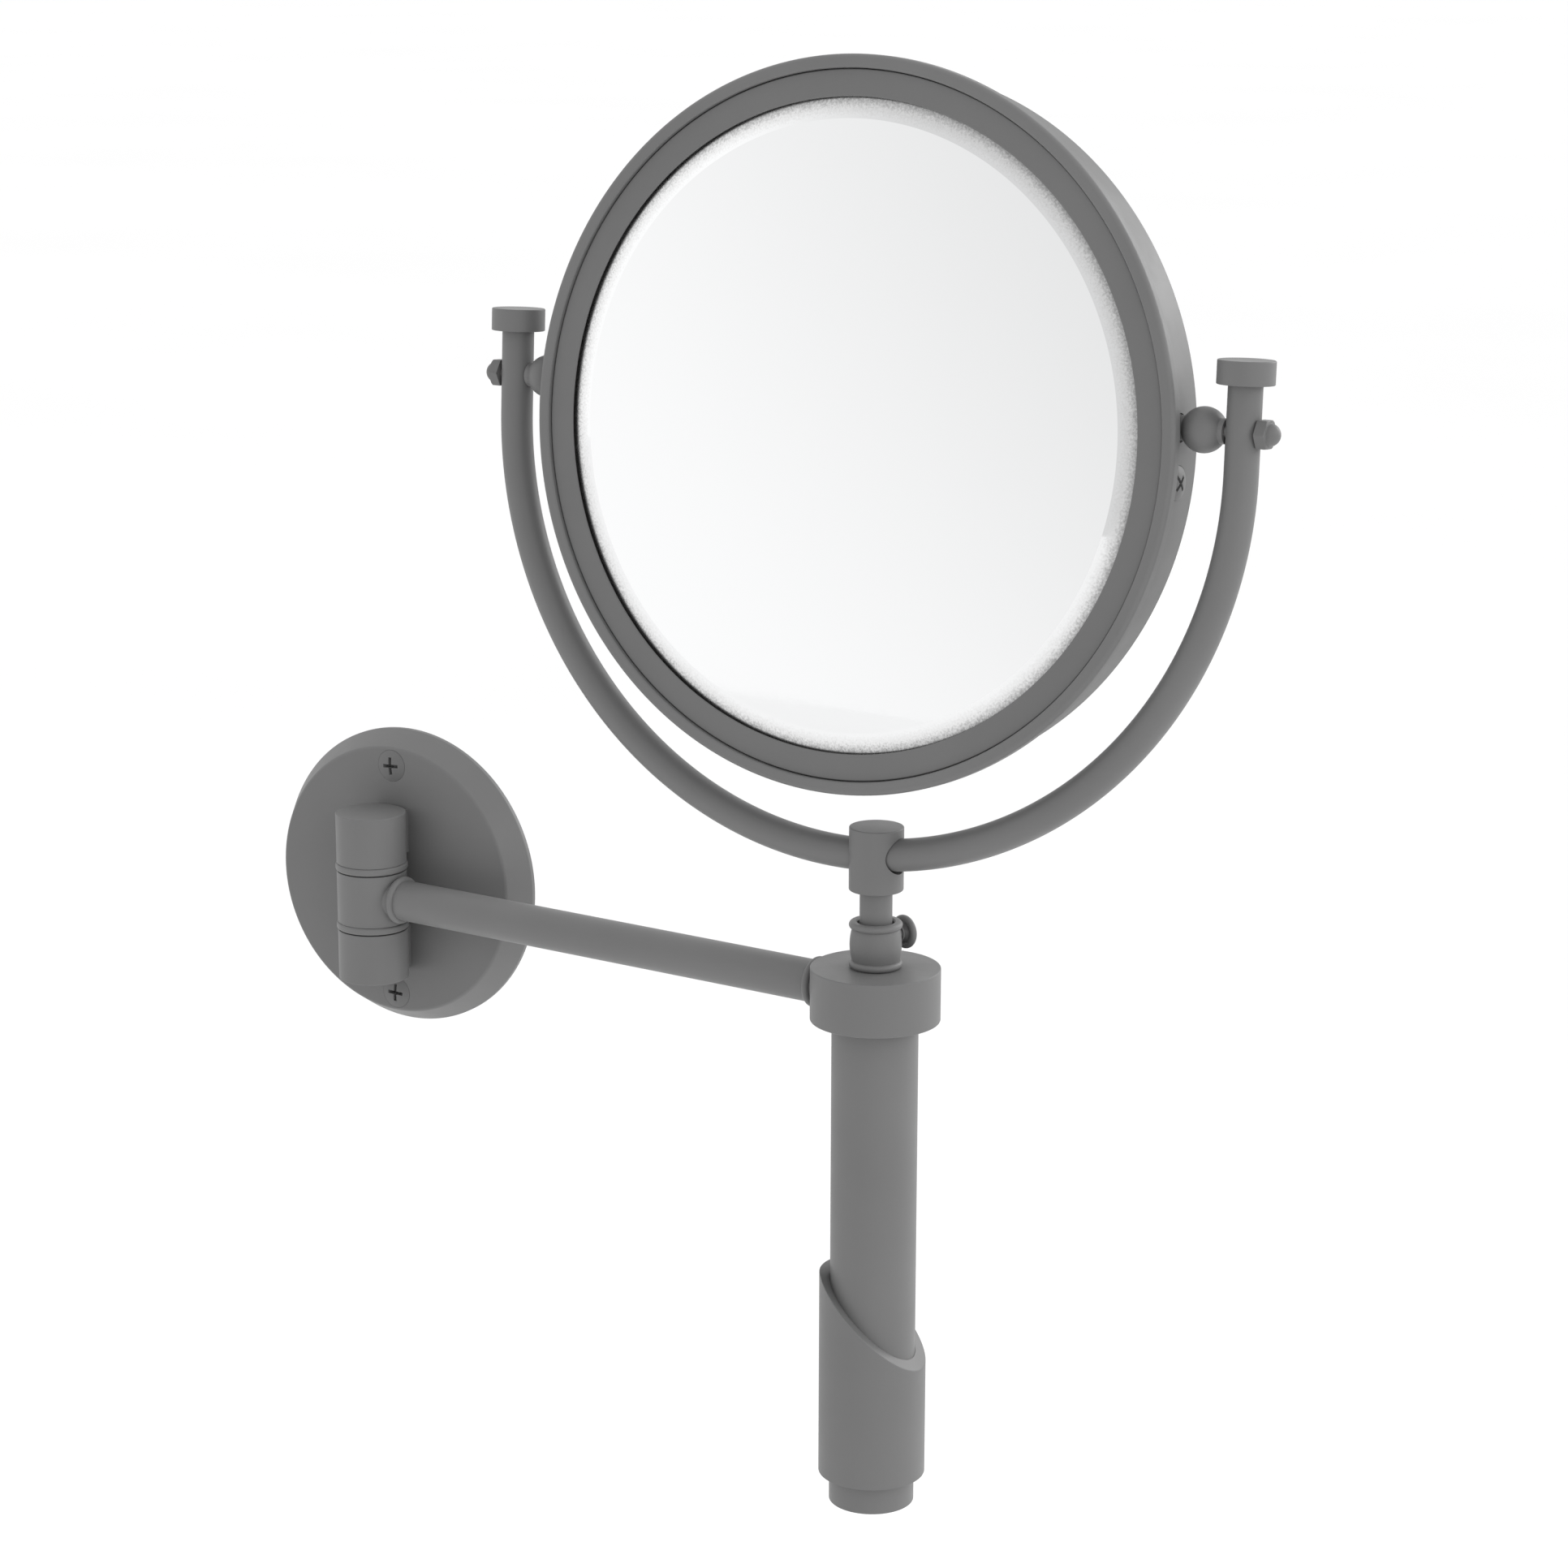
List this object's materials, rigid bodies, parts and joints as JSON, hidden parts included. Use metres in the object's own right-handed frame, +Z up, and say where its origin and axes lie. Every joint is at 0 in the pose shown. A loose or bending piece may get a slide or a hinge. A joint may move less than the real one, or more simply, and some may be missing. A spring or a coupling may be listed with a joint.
{
  "type": "extendable shaving mirror",
  "caption": "Round two-sided shaving mirror in a U-shaped yoke, on a lifting and turning rod in a tubular post, carried by an arm that swings on a round wall plate.",
  "frame": {"origin": "centre of the wall plate's back face, on the wall", "axes": "+Z up, +X along the wall towards the post at rest, +Y into the wall; the mirror faces -Y"},
  "size_m": [0.3563, 0.0756, 0.4259],
  "materials": {
    "paint": "matte",
    "steel": "satin",
    "nylon": "matte",
    "core": "matte",
    "mirror_glass": "polished"
  },
  "bodies": {
    "wall_mount": {"backplate": "paint", "wall_screws": "paint", "hinge_saddles": "paint", "upper_knuckle": "paint", "upper_bead": "paint", "lower_knuckle": "paint", "hinge_pin": "steel"},
    "arm": {"swing_knuckle": "paint", "lower_bead": "paint", "arm_root_bead": "paint", "arm_tube": "paint", "arm_end_bead": "paint", "post_collar": "paint", "post_tube": "paint", "slant_sleeve": "paint", "end_plug": "paint", "clamp_lower_ring": "paint", "clamp_body": "paint", "clamp_upper_ring": "paint"},
    "clamp_pad": {"clamp_tip": "nylon"},
    "thumb": {"thumb_screw": "paint"},
    "slider": {"rod_bush": "nylon"},
    "rod": {"lift_rod": "paint", "rod_keepers": "steel", "yoke_hub": "paint", "yoke_tube": "paint", "yoke_caps": "paint", "pivot_balls": "paint", "pivot_studs": "steel", "acorn_nuts": "paint"},
    "mirror": {"mirror_band": "paint", "front_bezel": "paint", "front_ring": "paint", "front_glass": "mirror_glass", "spacer_ring": "core", "rear_glass": "mirror_glass", "rear_ring": "paint", "pivot_bushes": "nylon", "frame_screws": "paint"}
  },
  "joints": [
    {"name": "arm_swing", "type": "hinge", "parent": "wall_mount", "child": "arm", "pos_m": [0, -0.02125, -0.002], "axis": [0, 0, 1], "range_deg": [-172, 2]},
    {"name": "rod_lift", "type": "slide", "parent": "arm", "child": "slider", "axis": [0, 0, 1], "range_m": [-0.009, 0.12]},
    {"name": "rod_swivel", "type": "hinge", "parent": "slider", "child": "rod", "pos_m": [0.18954, -0.0345, 0], "axis": [0, 0, 1], "continuous": true},
    {"name": "mirror_tilt", "type": "hinge", "parent": "rod", "child": "mirror", "pos_m": [0.17852, -0.02622, 0.16895], "axis": [0.9996, -0.0279, 0.0065], "continuous": true},
    {"name": "clamp_pad_slide", "type": "slide", "parent": "arm", "child": "clamp_pad", "axis": [0.342, 0.9397, 0], "range_m": [0, 0.0016]},
    {"name": "thumb_screw_turn", "type": "hinge", "parent": "clamp_pad", "child": "thumb", "pos_m": [0.1933, -0.02417, 0.01459], "axis": [0.342, 0.9397, 0], "range_deg": [0, 720]}
  ],
  "couplings": [
    {"joint": "thumb_screw_turn", "follows": "clamp_pad_slide", "rad_per_m": 7854}
  ]
}
